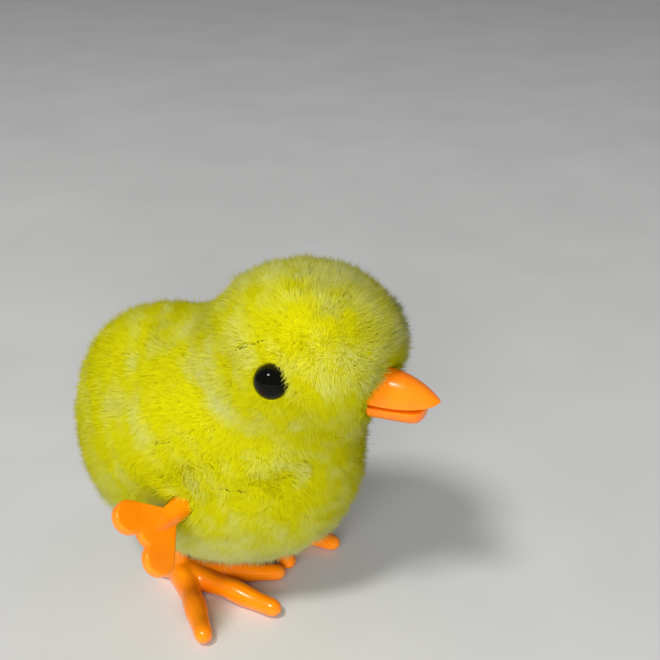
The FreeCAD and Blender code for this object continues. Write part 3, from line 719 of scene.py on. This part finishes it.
def beak_half(shape, reach, sign):
    """Rings from the beak's base to the tip of one mandible, nearly flat where the two meet."""
    rings, corners = 30, 40
    points = []
    for ring in range(rings):
        t = 1 - (1 - ring / (rings - 1)) ** 1.6
        width, height, level = shape(t)
        for corner in range(corners):
            angle = 2 * math.pi * corner / corners
            y = (width + 0.02) * math.copysign(abs(math.cos(angle)) ** 0.9, math.cos(angle))
            lift = math.sin(angle)
            z = height * lift if lift > 0 else 0.25 * min(height, 1.0) * lift
            points.append((BEAK_ROOT_X + reach * t, y, level + sign * z))
    faces = grid_faces(rings, corners)
    if sign < 0:
        faces = [face[::-1] for face in faces]
    return np.array(points), faces


def make_beak(material):
    length = BEAK_TIP_X - BEAK_ROOT_X
    for name, shape, reach, sign in (("beak_upper", upper_shape, length, 1.0),
                                     ("beak_lower", lower_shape, length - LOWER_SHORTER, -1.0)):
        points, faces = beak_half(shape, reach, sign)
        piece = add_object(name, mesh_of(name, points, faces), material)
        finer = piece.modifiers.new("finer", "SUBSURF")
        finer.levels = 1
        applied(piece)
        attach(piece, "chassis")
        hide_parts("beak")


def make_eye(side, material):
    """Domed button eye, slightly flattened, standing on its rim."""
    name = "eye_dome_left" if side > 0 else "eye_dome_right"
    centre = EYE_MID * (1.0, side, 1.0)
    rings, corners = 24, 48
    points = []
    for ring in range(rings):
        turn = math.pi * (0.02 + 0.70 * ring / (rings - 1))
        radius = EYE_RADIUS * math.sin(turn)
        depth = EYE_RISE * math.cos(turn)
        for corner in range(corners):
            angle = 2 * math.pi * corner / corners
            points.append(centre + (radius * math.cos(angle), side * depth, radius * math.sin(angle)))
    faces = grid_faces(rings, corners)
    if side < 0:
        faces = [face[::-1] for face in faces]
    piece = add_object(name, mesh_of(name, np.array(points), faces), material)
    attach(piece, "chassis")
    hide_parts("eye_left" if side > 0 else "eye_right")


# ---- feet -----------------------------------------------------------------------------------
def bell(value, middle, reach):
    """1 at the middle, falling off smoothly to both sides."""
    return math.exp(-((value - middle) / reach) ** 2)


def make_toe(reach, degrees, side):
    """One toe: thick at its root, with a raised knuckle past the middle and a rounded, swollen tip."""
    angle = math.radians(degrees)
    heading = np.array((math.cos(angle), side * math.sin(angle), 0.0))
    root = np.array((FOOT_ROOT[0], side * FOOT_ROOT[1], 2.3))
    path, radii = [], []
    steps = 36
    for step in range(steps + 1):
        share = step / steps
        girth = 2.50 - 0.75 * share + 0.36 * bell(share, 0.60, 0.14)
        girth += 0.12 * bell(share, 0.88, 0.08) + 0.8 * bell(share, 0.0, 0.25)
        cap = max(0.0, (share * reach - (reach - 2.2)) / 2.2)
        radius = girth * math.sqrt(max(1 - cap ** 2, 0.01))
        lift = 0.5 * bell(share, 0.50, 0.12)
        path.append(root + heading * share * reach + (0.0, 0.0, lift - 0.35 * share))
        radii.append(radius)
    return tube(path, radii, 20, 0.95)


def shank(side):
    """The shank that carries the foot, from the ankle up to its axle inside the fur."""
    ankle = np.array((FOOT_ROOT[0], side * FOOT_ROOT[1], 3.2))
    knee = np.array((-5.4, side * SHANK_Y, 11.0))
    axle = np.array((LEG_AXLE[0], side * SHANK_Y, LEG_AXLE[1]))
    share = np.linspace(0.0, 1.0, 14)[:, None]
    path = (1 - share) ** 2 * ankle + 2 * share * (1 - share) * knee + share ** 2 * axle
    return tube(path, np.linspace(1.9, 1.25, 14), 20)


def axle_boss(side):
    """Round boss at the top of the shank, on the leg axle."""
    low = side * (SHANK_Y - 1.2)
    high = side * (SHANK_Y + 1.2)
    path = [(LEG_AXLE[0], low + (high - low) * share, LEG_AXLE[1]) for share in (0.0, 0.25, 0.75, 1.0)]
    return tube(path, [2.8, 3.0, 3.0, 2.8], 32)


def heel_ball(side):
    """Swelling where the toes, the heel and the shank meet."""
    path = [(FOOT_ROOT[0] + along, side * FOOT_ROOT[1], 2.4) for along in (-3.1, -2.2, 0.0, 2.2, 3.1)]
    return tube(path, [0.6, 2.2, 3.1, 2.2, 0.6], 24, 0.8)


def make_foot(side, material):
    name = "foot_left" if side > 0 else "foot_right"
    parts = [make_toe(reach, degrees, side) for reach, degrees in TOES + (HEEL,)]
    parts += [shank(side), axle_boss(side), heel_ball(side)]
    points, faces = joined(parts)
    piece = add_object(name, mesh_of(name, points, faces), material)
    merged(piece, 0.32, 5)
    for vertex in piece.data.vertices:
        vertex.co.z = max(vertex.co.z, 0.0)
    piece.data.polygons.foreach_set("use_smooth", [True] * len(piece.data.polygons))
    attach(piece, "legs")
    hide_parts("left_leg" if side > 0 else "right_leg")


# ---- key ------------------------------------------------------------------------------------
def key_frame(points):
    """Key's own coordinates to the chick's: x along the wings, y along the shaft, z through the plate."""
    points = np.asarray(points, float)
    turn_x = math.cos(KEY_TILT) * points[:, 0] - math.sin(KEY_TILT) * points[:, 2]
    turn_z = math.sin(KEY_TILT) * points[:, 0] + math.cos(KEY_TILT) * points[:, 2]
    return np.stack((ARBOR[0] + turn_x, points[:, 1], ARBOR[1] + turn_z), axis=1)


def disc(centre_x, centre_y, radius, thick):
    """Round plate with softly rounded edges."""
    corners = 64
    profile = ((0.0, 0.5), (0.86, 0.5), (0.95, 0.44), (0.99, 0.30), (1.0, 0.0),
               (0.99, -0.30), (0.95, -0.44), (0.86, -0.5), (0.0, -0.5))
    points = []
    for out, height in profile:
        for corner in range(corners):
            angle = 2 * math.pi * corner / corners
            points.append((centre_x + radius * max(out, 0.02) * math.cos(angle),
                           centre_y + radius * max(out, 0.02) * math.sin(angle), height * thick))
    faces = [face[::-1] for face in grid_faces(len(profile), corners)]
    return np.array(points), faces


def lathe_y(profile, corners=40):
    """Solid turned about the key's own shaft line, from (y, radius) pairs."""
    points = []
    for y, radius in profile:
        for corner in range(corners):
            angle = 2 * math.pi * corner / corners
            points.append((radius * math.cos(angle), y, radius * math.sin(angle)))
    return np.array(points), grid_faces(len(profile), corners)


def make_key(material):
    wing_y = KEY_MID_Y
    parts = []
    steps = 8
    for side in (-1, 0, 1):
        for step in range(steps):
            share = step / steps
            out = wing_y + 0.4 + 7.0 * share if side else wing_y + 3.0 + 5.0 * share
            parts.append(disc(side * KEY_WING_AT * (1 - share), out, KEY_WING_R - 1.2 * share, KEY_THICK))
    parts.append(lathe_y(((wing_y + 1.2, 0.6), (wing_y + 3.5, 1.25), (wing_y + 6.5, 1.9), (-25.5, 2.25),
                          (KEY_ROOT_Y - 0.4, 2.3), (KEY_ROOT_Y, 2.1))))
    points, faces = joined(parts)
    name = "winding_key_shape"
    piece = add_object(name, mesh_of(name, key_frame(points), faces), material)
    merged(piece, 0.16, 5)
    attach(piece, "winder")
    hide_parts("winding_key")


# ---- the inside -----------------------------------------------------------------------------
def dress_frame():
    """Gives every CAD node that stays its finish, by the record's material slot."""
    finishes = {
        "shell_plastic": moulded_plastic("shell_plastic", (0.70, 0.69, 0.60), (0.80, 0.79, 0.70), 0.42),
        "motor_plastic": moulded_plastic("motor_plastic", (0.66, 0.66, 0.63), (0.76, 0.76, 0.73), 0.38),
        "gear_plastic": moulded_plastic("gear_plastic", (0.74, 0.74, 0.68), (0.84, 0.84, 0.79), 0.34),
        "brass": metal("brass", (0.60, 0.42, 0.14), (0.80, 0.62, 0.28), 0.28),
        "steel": metal("steel", (0.45, 0.46, 0.48), (0.62, 0.63, 0.65), 0.30),
    }
    slots = {part["node"]: part["material_slot"] for part in frame["record"]["subparts"]}
    for name, node in frame["nodes"].items():
        finish = finishes.get(slots[name])
        if finish:
            for place in node.material_slots:
                place.material = finish


def make_floor():
    half = FLOOR_HALF
    points = np.array(((-half, -half, 0.0), (half, -half, 0.0), (half, half, 0.0), (-half, half, 0.0)))
    floor = add_object("floor", mesh_of("floor", points, [(0, 1, 2, 3)]), floor_material(), smooth=False)


def main():
    make_camera()
    make_lights()
    make_floor()
    fur = fur_material("plush_pile", (0.64, 0.605, 0.0005), (0.70, 0.665, 0.001), (0.74, 0.71, 0.008),
                       (0.74, 0.775, 0.40))
    under = undercoat_material()
    beak_plastic = moulded_plastic("beak_plastic", (0.90, 0.20, 0.002), (0.96, 0.25, 0.005), 0.24,
                                   coat=0.1, glow=0.25, shine=0.35)
    orange = moulded_plastic("orange_plastic", (0.95, 0.22, 0.001), (1.0, 0.28, 0.002), 0.22,
                             coat=0.2, glow=0.30)
    black = moulded_plastic("eye_plastic", (0.002, 0.002, 0.0015), (0.004, 0.0035, 0.003), 0.06, shine=0.15)
    grow_fur("fur_body", BODY_MID, BODY_FUR, HEAD_MID, HEAD_FUR, fur, 11)
    grow_fur("fur_head", HEAD_MID, HEAD_FUR, BODY_MID, BODY_FUR, fur, 211)
    make_stitches(thread_material())
    undercoat("underfur_body", BODY_MID, BODY_FUR, under, 5)
    undercoat("underfur_head", HEAD_MID, HEAD_FUR, under, 6)
    make_beak(beak_plastic)
    for side in (-1, 1):
        make_eye(side, black)
        make_foot(side, orange)
    make_key(orange)
    dress_frame()


main()
